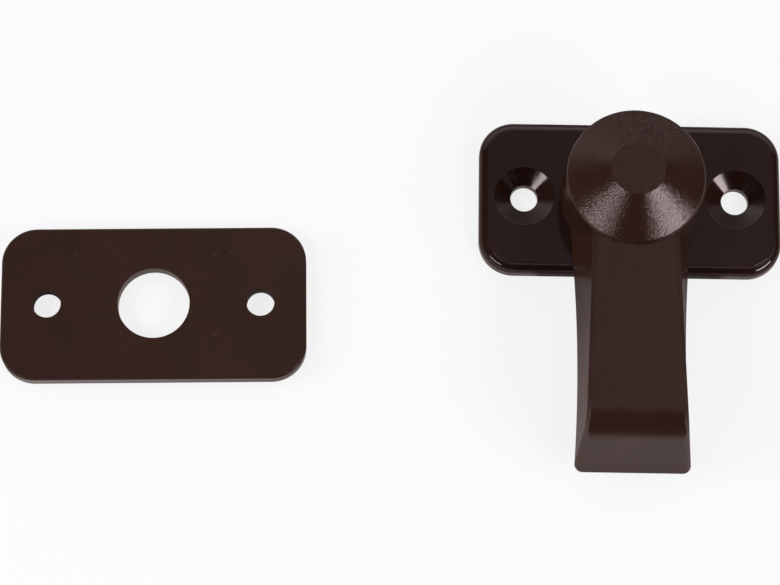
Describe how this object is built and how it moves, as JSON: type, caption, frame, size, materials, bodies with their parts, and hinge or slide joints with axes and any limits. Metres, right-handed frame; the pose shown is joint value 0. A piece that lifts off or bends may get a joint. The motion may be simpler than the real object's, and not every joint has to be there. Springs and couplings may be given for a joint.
{
  "type": "twist button latch",
  "caption": "Moulded twist button latch: a lever with a conical knob turns on a screw-on base plate; a flat packing plate of the same outline lies beside it.",
  "frame": {"origin": "the lever's turning axis at the back face of the base plate, which is also the middle of the screw holes", "axes": "+Z out of the base plate's face, X along the base plate, -Y along the lever's arm"},
  "size_m": [0.1284, 0.0597, 0.0185],
  "materials": {
    "gloss_brown": "glossy",
    "satin_brown": "fine spark-eroded satin",
    "packing_brown": "satin",
    "zinc": "zinc plated"
  },
  "bodies": {
    "base": {"base_plate": "gloss_brown", "packing_plate": "packing_brown"},
    "lever": {"turn_lever": "satin_brown", "pivot_washer": "zinc", "pivot_screw": "zinc"}
  },
  "joints": [
    {"name": "lever_turn", "type": "hinge", "parent": "base", "child": "lever", "pos_m": [0, 0, 0], "axis": [0, 0, 1], "continuous": true}
  ]
}
